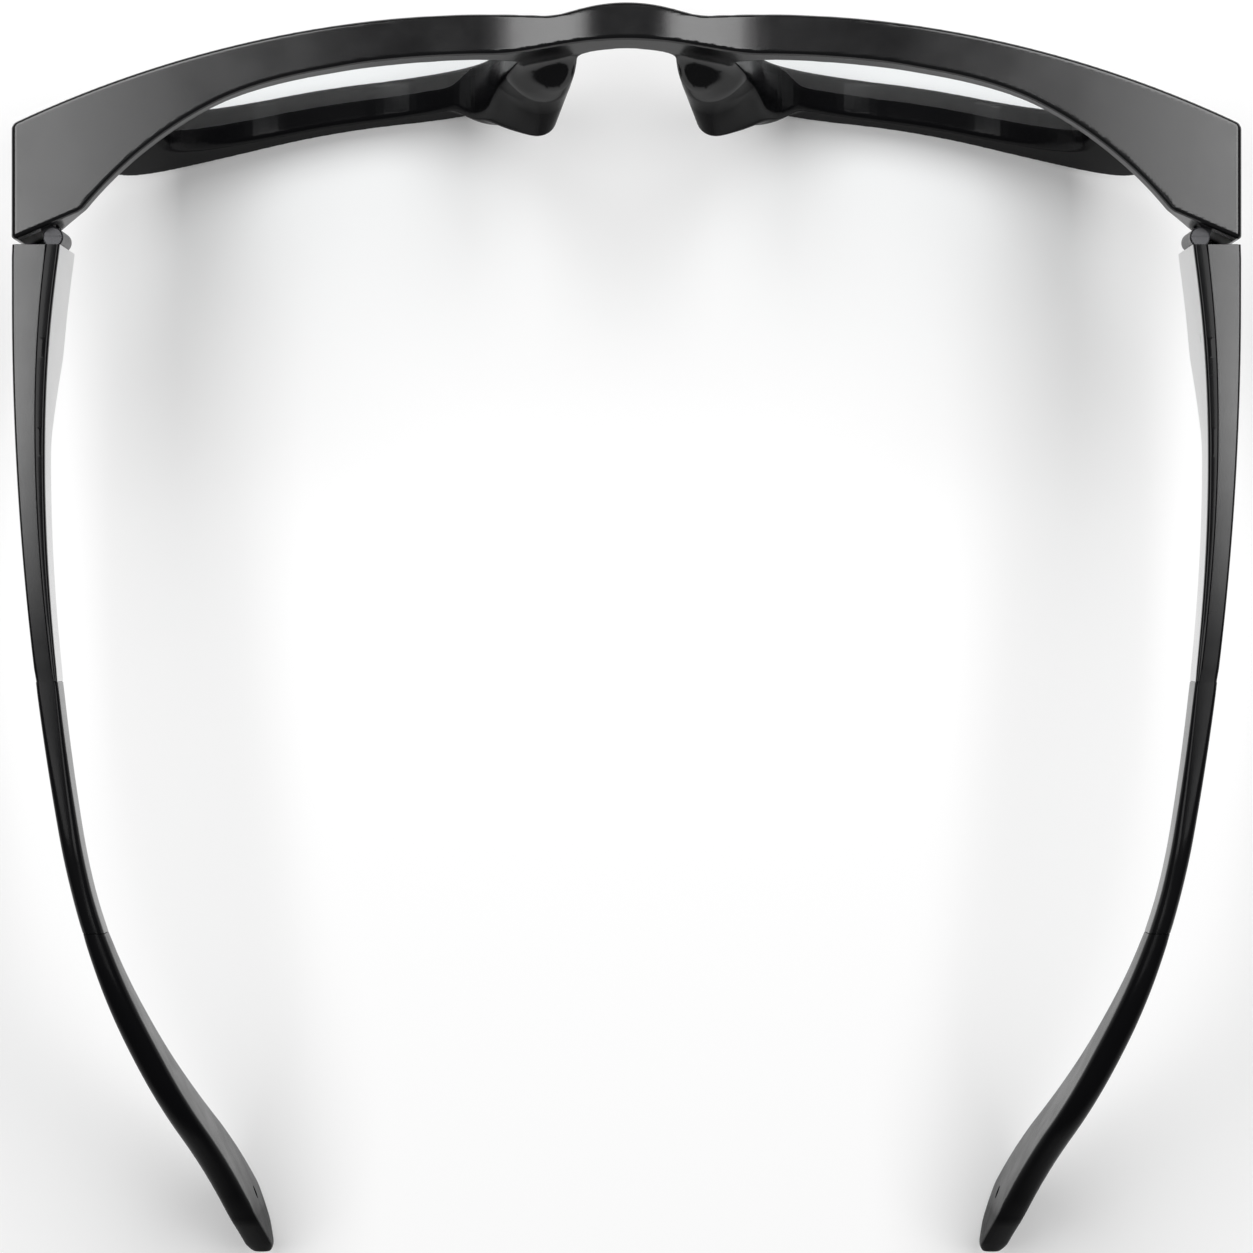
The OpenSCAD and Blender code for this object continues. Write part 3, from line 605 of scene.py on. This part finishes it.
def skin_of(shape, low, high, step, block=8):
    """A closed quad skin on the zero of a distance function, fitted onto it."""
    count = [int(math.ceil((b - a) / step / block)) * block + 1 for a, b in zip(low, high)]
    axes = [a + step * np.arange(n) for a, n in zip(low, count)]
    values = np.full(count, 9.0, dtype=np.float32)
    blocks = [(n - 1) // block for n in count]
    centres = np.stack(np.meshgrid(*[a + step * block * (np.arange(n) + 0.5) for a, n in zip(low, blocks)],
                                   indexing="ij"), -1).reshape(-1, 3)
    reach = step * block * 0.9 + 0.6
    far = shape(centres)
    near = np.abs(far) < reach
    index = np.stack(np.meshgrid(*[np.arange(n) for n in blocks], indexing="ij"), -1).reshape(-1, 3)
    for (i, j, k), d in zip(index[~near], far[~near]):
        values[i * block:(i + 1) * block + 1, j * block:(j + 1) * block + 1, k * block:(k + 1) * block + 1] = d
    chosen = index[near]
    offsets = np.stack(np.meshgrid(*[np.arange(block + 1)] * 3, indexing="ij"), -1).reshape(-1, 3)
    for start in range(0, len(chosen), 400):
        part = chosen[start:start + 400]
        ids = (part[:, None, :] * block + offsets[None]).reshape(-1, 3)
        points = np.stack([axes[k][ids[:, k]] for k in range(3)], -1)
        values[ids[:, 0], ids[:, 1], ids[:, 2]] = shape(points)

    inside = values < 0
    n = np.array(count) - 1
    corner = [inside[i:i + n[0], j:j + n[1], k:k + n[2]] for i in (0, 1) for j in (0, 1) for k in (0, 1)]
    total = sum(c.astype(np.int8) for c in corner)
    cells = np.argwhere((total > 0) & (total < 8))
    number = np.full(tuple(n), -1, dtype=np.int64)
    number[tuple(cells.T)] = np.arange(len(cells))
    middle, hits = np.zeros((len(cells), 3)), np.zeros(len(cells))
    for axis in range(3):
        for a in (0, 1):
            for b in (0, 1):
                p = np.zeros(3, dtype=int)
                others = [k for k in range(3) if k != axis]
                p[others[0]], p[others[1]] = a, b
                q = p.copy()
                q[axis] = 1
                vp, vq = values[tuple((cells + p).T)], values[tuple((cells + q).T)]
                cross = (vp < 0) != (vq < 0)
                t = np.where(cross, vp / np.where(cross, vp - vq, 1), 0)
                at = cells + p + t[:, None] * (q - p)
                middle[cross] += at[cross]
                hits[cross] += 1
    points = np.array(low) + step * middle / hits[:, None]

    faces = []
    for axis in range(3):
        b, c = [k for k in range(3) if k != axis]
        size = [slice(1, n[k]) for k in range(3)]
        size[axis] = slice(0, n[axis])
        here = inside[tuple(size)]
        size_next = list(size)
        size_next[axis] = slice(1, n[axis] + 1)
        there = inside[tuple(size_next)]
        grid = np.argwhere(here != there)
        base = grid.copy()
        base[:, b] += 1
        base[:, c] += 1
        flip = here[tuple(grid.T)]
        ring = []
        for db, dc in ((0, 0), (1, 0), (1, 1), (0, 1)):
            cell = base.copy()
            cell[:, b] -= db
            cell[:, c] -= dc
            ring.append(number[tuple(cell.T)])
        quad = np.stack(ring, -1)
        if axis == 1:
            flip = ~flip
        quad[flip] = quad[flip][:, ::-1]
        faces.append(quad)
    faces = np.concatenate(faces)
    for _ in range(3):
        slope = slopes(shape, points)
        move = shape(points)[:, None] * slope / np.maximum((slope ** 2).sum(1), 0.2)[:, None]
        points = points - np.clip(move, -0.25, 0.25)
    normal = slopes(shape, points)
    normal /= np.maximum(np.linalg.norm(normal, axis=1), 1e-6)[:, None]
    across_a = points[faces[:, 2]] - points[faces[:, 0]]
    across_b = points[faces[:, 3]] - points[faces[:, 1]]
    turned = (np.cross(across_a, across_b) * normal[faces[:, 0]]).sum(1)
    if (turned > 0).mean() < 0.5:
        faces = faces[:, ::-1]
    return points, faces, normal


def skinned(name, points, faces, normal, material, body, node):
    """A piece from a skin, shaded with the normals of its own shape."""
    mesh = bpy.data.meshes.new(name)
    mesh.from_pydata(in_frame(points).tolist(), [], faces.tolist())
    piece = bpy.data.objects.new(name, mesh)
    bpy.context.scene.collection.objects.link(piece)
    mesh.shade_smooth()
    mesh.normals_split_custom_set_from_vertices(normal.tolist())
    mesh.materials.append(material)
    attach(piece, body)
    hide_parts(node)


def make_front(step):
    """The front from temple to temple, in cells of the given step."""
    edge = math.ceil(74 / step) * step
    points, faces, normal = skin_of(front_shape, (-edge, -1.0, -1.0), (edge, 30.0, 46.0), step)
    skinned("front", points, faces, normal, FRONT_BLACK, "front", "frame_front")


def lens_shape(points):
    """Signed distance to the wearer's left lens: a thin curved sheet with soft edges."""
    x, v, z = points[:, 0], points[:, 1], points[:, 2]
    lv = math.cos(LEAN) * v + math.sin(LEAN) * (z - FRONT_H + BROW_DIP)
    face = behind_face(x, lv, 0)
    sheet = round_join(face + LENS_BACK, -face - LENS_BACK - LENS_T, 0.15)
    return round_join(sheet, outline_distance(LENS_OUTLINE, x, z) - LENS_TUCK, 0.15)


def make_lens(side, word, step):
    points, faces, normal = skin_of(lens_shape, (10.0, -1.0, 2.5), (62.0, 20.0, 43.0), step)
    if side < 0:
        points, normal = points * (-1, 1, 1), normal * (-1, 1, 1)
        faces = faces[:, ::-1]
    skinned("lens_sheet_" + word, points, faces, normal, LENS, "front", "lens_" + word)


# ---------------------------------------------------------------- the temples

def corner_points(x0, x1, z0, z1, r_in, r_out, steps=4):
    """A rectangle across the temple with its corners rounded: (x, z) pairs, anticlockwise."""
    half = min(x1 - x0, z1 - z0) / 2 * 0.98
    r_in, r_out = min(r_in, half), min(r_out, half)
    out = []
    for cx, cz, r, start in ((x1 - r_out, z0 + r_out, r_out, -90), (x1 - r_out, z1 - r_out, r_out, 0),
                             (x0 + r_in, z1 - r_in, r_in, 90), (x0 + r_in, z0 + r_in, r_in, 180)):
        for k in range(steps + 1):
            a = math.radians(start + 90 * k / steps)
            out.append((cx + r * math.cos(a), cz + r * math.sin(a)))
    return out


def stations(s0, s1, pitch):
    """Places along the temple, with one at every point of its side outline."""
    marks = {s0, s1}
    marks.update(float(p[0]) for p in TEMPLE_OUTLINE if s0 < p[0] < s1)
    marks = sorted(marks)
    out = []
    for a, b in zip(marks, marks[1:]):
        n = max(1, int(math.ceil((b - a) / pitch)))
        out += [a + (b - a) * k / n for k in range(n)]
    out.append(s1)
    clean = [out[0]]
    for s in out[1:]:
        if s - clean[-1] > 0.02:
            clean.append(s)
    return clean


def lofted(name, rings, material, body, node):
    """A closed skin over a row of rings."""
    points, faces = [], []
    n = len(rings[0])
    for ring in rings:
        points += ring
    for k in range(len(rings) - 1):
        for i in range(n):
            j = (i + 1) % n
            faces.append((k * n + i, k * n + j, (k + 1) * n + j, (k + 1) * n + i))
    faces.append(tuple(range(n - 1, -1, -1)))
    faces.append(tuple(range((len(rings) - 1) * n, len(rings) * n)))
    return mesh_piece(name, in_frame(points), faces, material, body, (node,))


def temple_rings(side, s_list, inner, outer, edge_in, edge_out, end_round=0.15, round_last=True):
    """Cross sections from front to back; both ends are drawn in a little, as moulded ends are."""
    rings = []

    def ring(s, shrink):
        z0, z1 = heights(s)
        x0, x1 = inner(s) + shrink, outer(s) - shrink
        pts = corner_points(x0, x1, z0 + shrink, z1 - shrink, edge_in(s), edge_out(s))
        rings.append([(side * x, FACE_V + s, z) for x, z in pts])

    first, last = s_list[0], s_list[-1]
    ring(first, end_round)
    ring(first + end_round * 0.3, end_round * 0.3)
    for s in s_list:
        if first + end_round <= s <= last - end_round:
            ring(s, 0)
    if round_last:
        ring(last - end_round * 0.3, end_round * 0.3)
        ring(last, end_round)
    return rings


def make_temple(side, word):
    """Outer shell, inner cover and hooked ear tip of one temple."""
    body = "temple_" + word
    seam = lambda s: across(s, 0, cover_t(s))
    sharp = lambda s: 0.35 + 1.15 * ease((s - 40) / 60)
    tight = lambda s: 0.12
    pitch = 1.6

    # outer shell: beside the cover it stops at the seam, behind it it takes the full thickness
    first = temple_rings(side, stations(0, COVER_L, pitch), seam, lambda s: across(s, 1),
                         tight, sharp, 0.18, round_last=False)
    second = temple_rings(side, stations(COVER_L + 0.02, TIP_S, pitch), lambda s: across(s, 0),
                          lambda s: across(s, 1), sharp, sharp, 0.08)
    shell = lofted("shell_" + word, first + second, BLACK, body, "temple_shell_" + word)

    cover = lofted("cover_" + word,
                   temple_rings(side, stations(0, COVER_L - 0.05, pitch), lambda s: across(s, 0), seam,
                                lambda s: 0.45, tight, 0.12),
                   COVER, body, "temple_cover_" + word)

    # ear tip: its end is rounded off in plan as well as from the side
    end = max(p[0] for p in TEMPLE_OUTLINE)
    marks = stations(TIP_S + 0.04, end - TIP_END_L, pitch)
    marks += [end - TIP_END_L * (1 - math.sin(math.radians(90 * k / 12))) for k in range(1, 12)] + [end - 0.004]

    def drawn_in(s):
        t = max(0.0, (s - (end - 1.5)) / 1.5)
        return 0.5 * thickness(s) * (1 - math.sqrt(max(0.0, 1 - t * t))) * 0.8

    rings = temple_rings(side, marks, lambda s: across(s, 0, drawn_in(s)), lambda s: across(s, 1, -drawn_in(s)),
                         sharp, sharp, 0.12, round_last=False)
    tip = lofted("ear_tip_" + word, rings, TIP, body, "ear_tip_" + word)

    relief = [round_cutter((BARREL_R + RUN_PLAY) * MM, (PIVOT_Z1 - PIVOT_Z0 + 1.2) * MM,
                           place_at(side * PIVOT_X, PIVOT_V, (PIVOT_Z0 + PIVOT_Z1) / 2 + 0.3)) for _ in (0, 1)]
    cutters = [relief[0], box_cutter((1.1 * MM, 5 * MM, 1.8 * MM),
                                     sound_port_place(side) @ Matrix.Translation((0, 0, 0.1 * MM))),
               round_cutter(0.4 * MM, 2.4 * MM,
                            place_at(side * across(MICROPHONE_S, 0.5), FACE_V + MICROPHONE_S, ARM_BASE))]
    if word == "right":
        cutters.append(box_cutter(((BUTTON_W + 0.3) * MM, (BUTTON_L + 0.3) * MM, 2.2 * MM),
                                  place_at(side * BUTTON_X, FACE_V + BUTTON_S, END_Z)))
    cut_away(shell, cutters)
    cut_away(cover, [relief[1]])
    hole = place_at(side * across(HOLE_S, 0.5), FACE_V + HOLE_S, HOLE_Z) \
        @ Matrix.Rotation(side * turn_in(HOLE_S), 4, "Z") @ Matrix.Rotation(math.radians(90), 4, "Y")
    cut_away(tip, [round_cutter(LANYARD_R * MM, 12 * MM, hole)])


# ---------------------------------------------------------------- woven mesh over the sound ports

def group(name, floats, material=False):
    """A node tree with named sizes as its inputs."""
    tree = bpy.data.node_groups.new(name, "GeometryNodeTree")
    ids = {}
    for key in floats:
        ids[key] = tree.interface.new_socket(key, in_out="INPUT", socket_type="NodeSocketFloat").identifier
    if material:
        ids["Material"] = tree.interface.new_socket(
            "Material", in_out="INPUT", socket_type="NodeSocketMaterial").identifier
    tree.interface.new_socket("Geometry", in_out="OUTPUT", socket_type="NodeSocketGeometry")
    return tree, ids, tree.nodes.new("NodeGroupInput"), tree.nodes.new("NodeGroupOutput")


def sum_up(tree, operation, a, b):
    """One step of arithmetic on numbers or sockets."""
    node = tree.nodes.new("ShaderNodeMath")
    node.operation = operation
    for socket, value in zip(node.inputs, (a, b)):
        if isinstance(value, (int, float)):
            socket.default_value = value
        elif value is not None:
            tree.links.new(value, socket)
    return node.outputs["Value"]


def vector_of(tree, **parts):
    """A vector from the sockets given for x, y and z."""
    node = tree.nodes.new("ShaderNodeCombineXYZ")
    for key, value in parts.items():
        tree.links.new(value, node.inputs[key.upper()])
    return node.outputs["Vector"]


def wire_layer():
    """Waved wires side by side: each one runs along X, and every second one is turned over."""
    tree, _, given, out = group("wire_layer", ("Length", "Span", "Pitch", "Wire radius"))
    link = tree.links.new
    half = sum_up(tree, "MULTIPLY", given.outputs["Length"], 0.5)
    line = tree.nodes.new("GeometryNodeCurvePrimitiveLine")
    link(vector_of(tree, x=sum_up(tree, "MULTIPLY", half, -1.0)), line.inputs["Start"])
    link(vector_of(tree, x=half), line.inputs["End"])
    points = tree.nodes.new("GeometryNodeResampleCurve")
    points.mode = "LENGTH"
    link(line.outputs["Curve"], points.inputs["Curve"])
    link(sum_up(tree, "MULTIPLY", given.outputs["Pitch"], 0.25), points.inputs["Length"])
    place = tree.nodes.new("ShaderNodeSeparateXYZ")
    link(tree.nodes.new("GeometryNodeInputPosition").outputs["Position"], place.inputs["Vector"])
    turns = sum_up(tree, "DIVIDE", sum_up(tree, "ADD", place.outputs["X"], half), given.outputs["Pitch"])
    wave = sum_up(tree, "COSINE", sum_up(tree, "MULTIPLY", turns, math.pi), None)
    waved = tree.nodes.new("GeometryNodeSetPosition")
    link(points.outputs["Curve"], waved.inputs["Geometry"])
    link(vector_of(tree, z=sum_up(tree, "MULTIPLY", wave, given.outputs["Wire radius"])), waved.inputs["Offset"])
    profile = tree.nodes.new("GeometryNodeCurvePrimitiveCircle")
    profile.inputs["Resolution"].default_value = 6
    link(given.outputs["Wire radius"], profile.inputs["Radius"])
    wire = tree.nodes.new("GeometryNodeCurveToMesh")
    wire.inputs["Fill Caps"].default_value = True
    link(waved.outputs["Geometry"], wire.inputs["Curve"])
    link(profile.outputs["Curve"], wire.inputs["Profile Curve"])
    row = tree.nodes.new("GeometryNodeMeshLine")
    count = sum_up(tree, "ADD", sum_up(tree, "ROUND", sum_up(
        tree, "DIVIDE", given.outputs["Span"], given.outputs["Pitch"]), None), 1.0)
    link(count, row.inputs["Count"])
    link(vector_of(tree, y=sum_up(tree, "MULTIPLY", given.outputs["Span"], -0.5)), row.inputs["Start Location"])
    link(vector_of(tree, y=given.outputs["Pitch"]), row.inputs["Offset"])
    laid = tree.nodes.new("GeometryNodeInstanceOnPoints")
    turn = sum_up(tree, "MULTIPLY", tree.nodes.new("GeometryNodeInputIndex").outputs["Index"], math.pi)
    link(row.outputs["Mesh"], laid.inputs["Points"])
    link(wire.outputs["Mesh"], laid.inputs["Instance"])
    link(vector_of(tree, x=turn), laid.inputs["Rotation"])
    link(laid.outputs["Instances"], out.inputs["Geometry"])
    return tree


def woven_sheet():
    """Two crossed layers of wires, in one material."""
    tree, ids, given, out = group("woven_sheet", ("Length", "Width", "Pitch", "Wire radius"), material=True)
    link = tree.links.new
    layer = wire_layer()
    join = tree.nodes.new("GeometryNodeJoinGeometry")
    for long_way, turn in ((True, (0, 0, 0)), (False, (math.pi, 0, math.pi / 2))):
        wires = tree.nodes.new("GeometryNodeGroup")
        wires.node_tree = layer
        link(given.outputs["Length" if long_way else "Width"], wires.inputs["Length"])
        link(given.outputs["Width" if long_way else "Length"], wires.inputs["Span"])
        link(given.outputs["Pitch"], wires.inputs["Pitch"])
        link(given.outputs["Wire radius"], wires.inputs["Wire radius"])
        turned = tree.nodes.new("GeometryNodeTransform")
        turned.inputs["Rotation"].default_value = turn
        link(wires.outputs["Geometry"], turned.inputs["Geometry"])
        link(turned.outputs["Geometry"], join.inputs["Geometry"])
    real = tree.nodes.new("GeometryNodeRealizeInstances")
    painted = tree.nodes.new("GeometryNodeSetMaterial")
    link(join.outputs["Geometry"], real.inputs["Geometry"])
    link(real.outputs["Geometry"], painted.inputs["Geometry"])
    link(given.outputs["Material"], painted.inputs["Material"])
    link(painted.outputs["Geometry"], out.inputs["Geometry"])
    return tree, ids


def sound_port_place(side):
    """The middle of the sound port, on the sloped underside where the housing narrows."""
    slope = math.atan2(ARM_BASE - END_Z, HOUSING_SLOPE_L)
    place = place_at(side * across(PORT_S, 0.5), FACE_V + PORT_S, (ARM_BASE + END_Z) / 2)
    return place @ Matrix.Rotation(slope, 4, "X")


def make_speaker_mesh(side, word, tree, ids):
    """The woven wires of one speaker mesh, laid over its port."""
    piece = bpy.data.objects.new("speaker_mesh_wires_" + word, bpy.data.meshes.new("wires"))
    bpy.context.scene.collection.objects.link(piece)
    weave = piece.modifiers.new("weave", "NODES")
    weave.node_group = tree
    for key, value in {"Length": 4.8 * MM, "Width": 0.96 * MM, "Pitch": 0.12 * MM, "Wire radius": 0.027 * MM,
                       "Material": WIRE}.items():
        weave[ids[key]] = value
    baked(piece)
    piece.data.transform(sound_port_place(side) @ Matrix.Translation((0, 0, 0.28 * MM))
                         @ Matrix.Rotation(math.radians(90), 4, "Z"))
    outward(piece)
    piece.data.shade_smooth()
    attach(piece, "temple_" + word)
    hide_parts("speaker_mesh_" + word)


# ---------------------------------------------------------------- the setting, in metres

FLOOR_REACH = 3
SOFTBOX_OUT, SOFTBOX_Y, SOFTBOX_Z = 0.34, -0.44, 0.80
SOFTBOX_W, SOFTBOX_L, SOFTBOX_WATTS = 0.42, 1.08, 7.2
CAMERA_PLACE, CAMERA_LENS, CAMERA_SENSOR = (0, -0.0019, 0.725), 164.7, 36


def softbox(name, place, aim, size_x, size_y, power):
    """One large soft light."""
    data = bpy.data.lights.new(name, "AREA")
    data.shape = "RECTANGLE"
    data.size, data.size_y = size_x, size_y
    data.energy = power
    light = bpy.data.objects.new(name, data)
    light.location = place
    light.rotation_euler = (Vector(aim) - Vector(place)).to_track_quat("-Z", "Y").to_euler()
    bpy.context.scene.collection.objects.link(light)


def make_setting():
    """Pale floor, dim world, two softboxes above and the camera."""
    scene = bpy.context.scene
    mesh = bpy.data.meshes.new("floor")
    mesh.from_pydata([(x * FLOOR_REACH, y * FLOOR_REACH, 0) for x, y in ((-1, -1), (1, -1), (1, 1), (-1, 1))],
                     [], [(0, 1, 2, 3)])
    floor = bpy.data.objects.new("floor", mesh)
    scene.collection.objects.link(floor)
    paper = bpy.data.materials.new("pale_floor")
    paper.use_nodes = True
    shader = paper.node_tree.nodes["Principled BSDF"]
    shader.inputs["Base Color"].default_value = (0.82, 0.82, 0.82, 1)
    shader.inputs["Roughness"].default_value = 0.85
    shader.inputs["Emission Color"].default_value = (1, 1, 1, 1)
    shader.inputs["Emission Strength"].default_value = 0.14
    shader.inputs["Specular IOR Level"].default_value = 0.15
    mesh.materials.append(paper)

    world = bpy.data.worlds.new("studio")
    scene.world = world
    world.use_nodes = True
    world.node_tree.nodes["Background"].inputs["Color"].default_value = (0.06, 0.06, 0.06, 1)

    for side in (-1, 1):
        softbox("side_softbox", (side * SOFTBOX_OUT, SOFTBOX_Y, SOFTBOX_Z), (side * SOFTBOX_OUT, SOFTBOX_Y, 0),
                SOFTBOX_W, SOFTBOX_L, SOFTBOX_WATTS)

    camera_data = bpy.data.cameras.new("camera")
    camera_data.lens = CAMERA_LENS
    camera_data.sensor_width = CAMERA_SENSOR
    camera = bpy.data.objects.new("camera", camera_data)
    camera.location = CAMERA_PLACE
    camera.rotation_euler = (0, 0, math.pi)
    scene.collection.objects.link(camera)
    scene.camera = camera
    scene.view_settings.view_transform = "Standard"
    scene.view_settings.look = "None"


fine = 0.38
make_front(fine)
make_lens(1, "left", fine)
make_lens(-1, "right", fine)
make_temple(1, "left")
make_temple(-1, "right")
weave_tree, weave_ids = woven_sheet()
make_speaker_mesh(1, "left", weave_tree, weave_ids)
make_speaker_mesh(-1, "right", weave_tree, weave_ids)
make_setting()
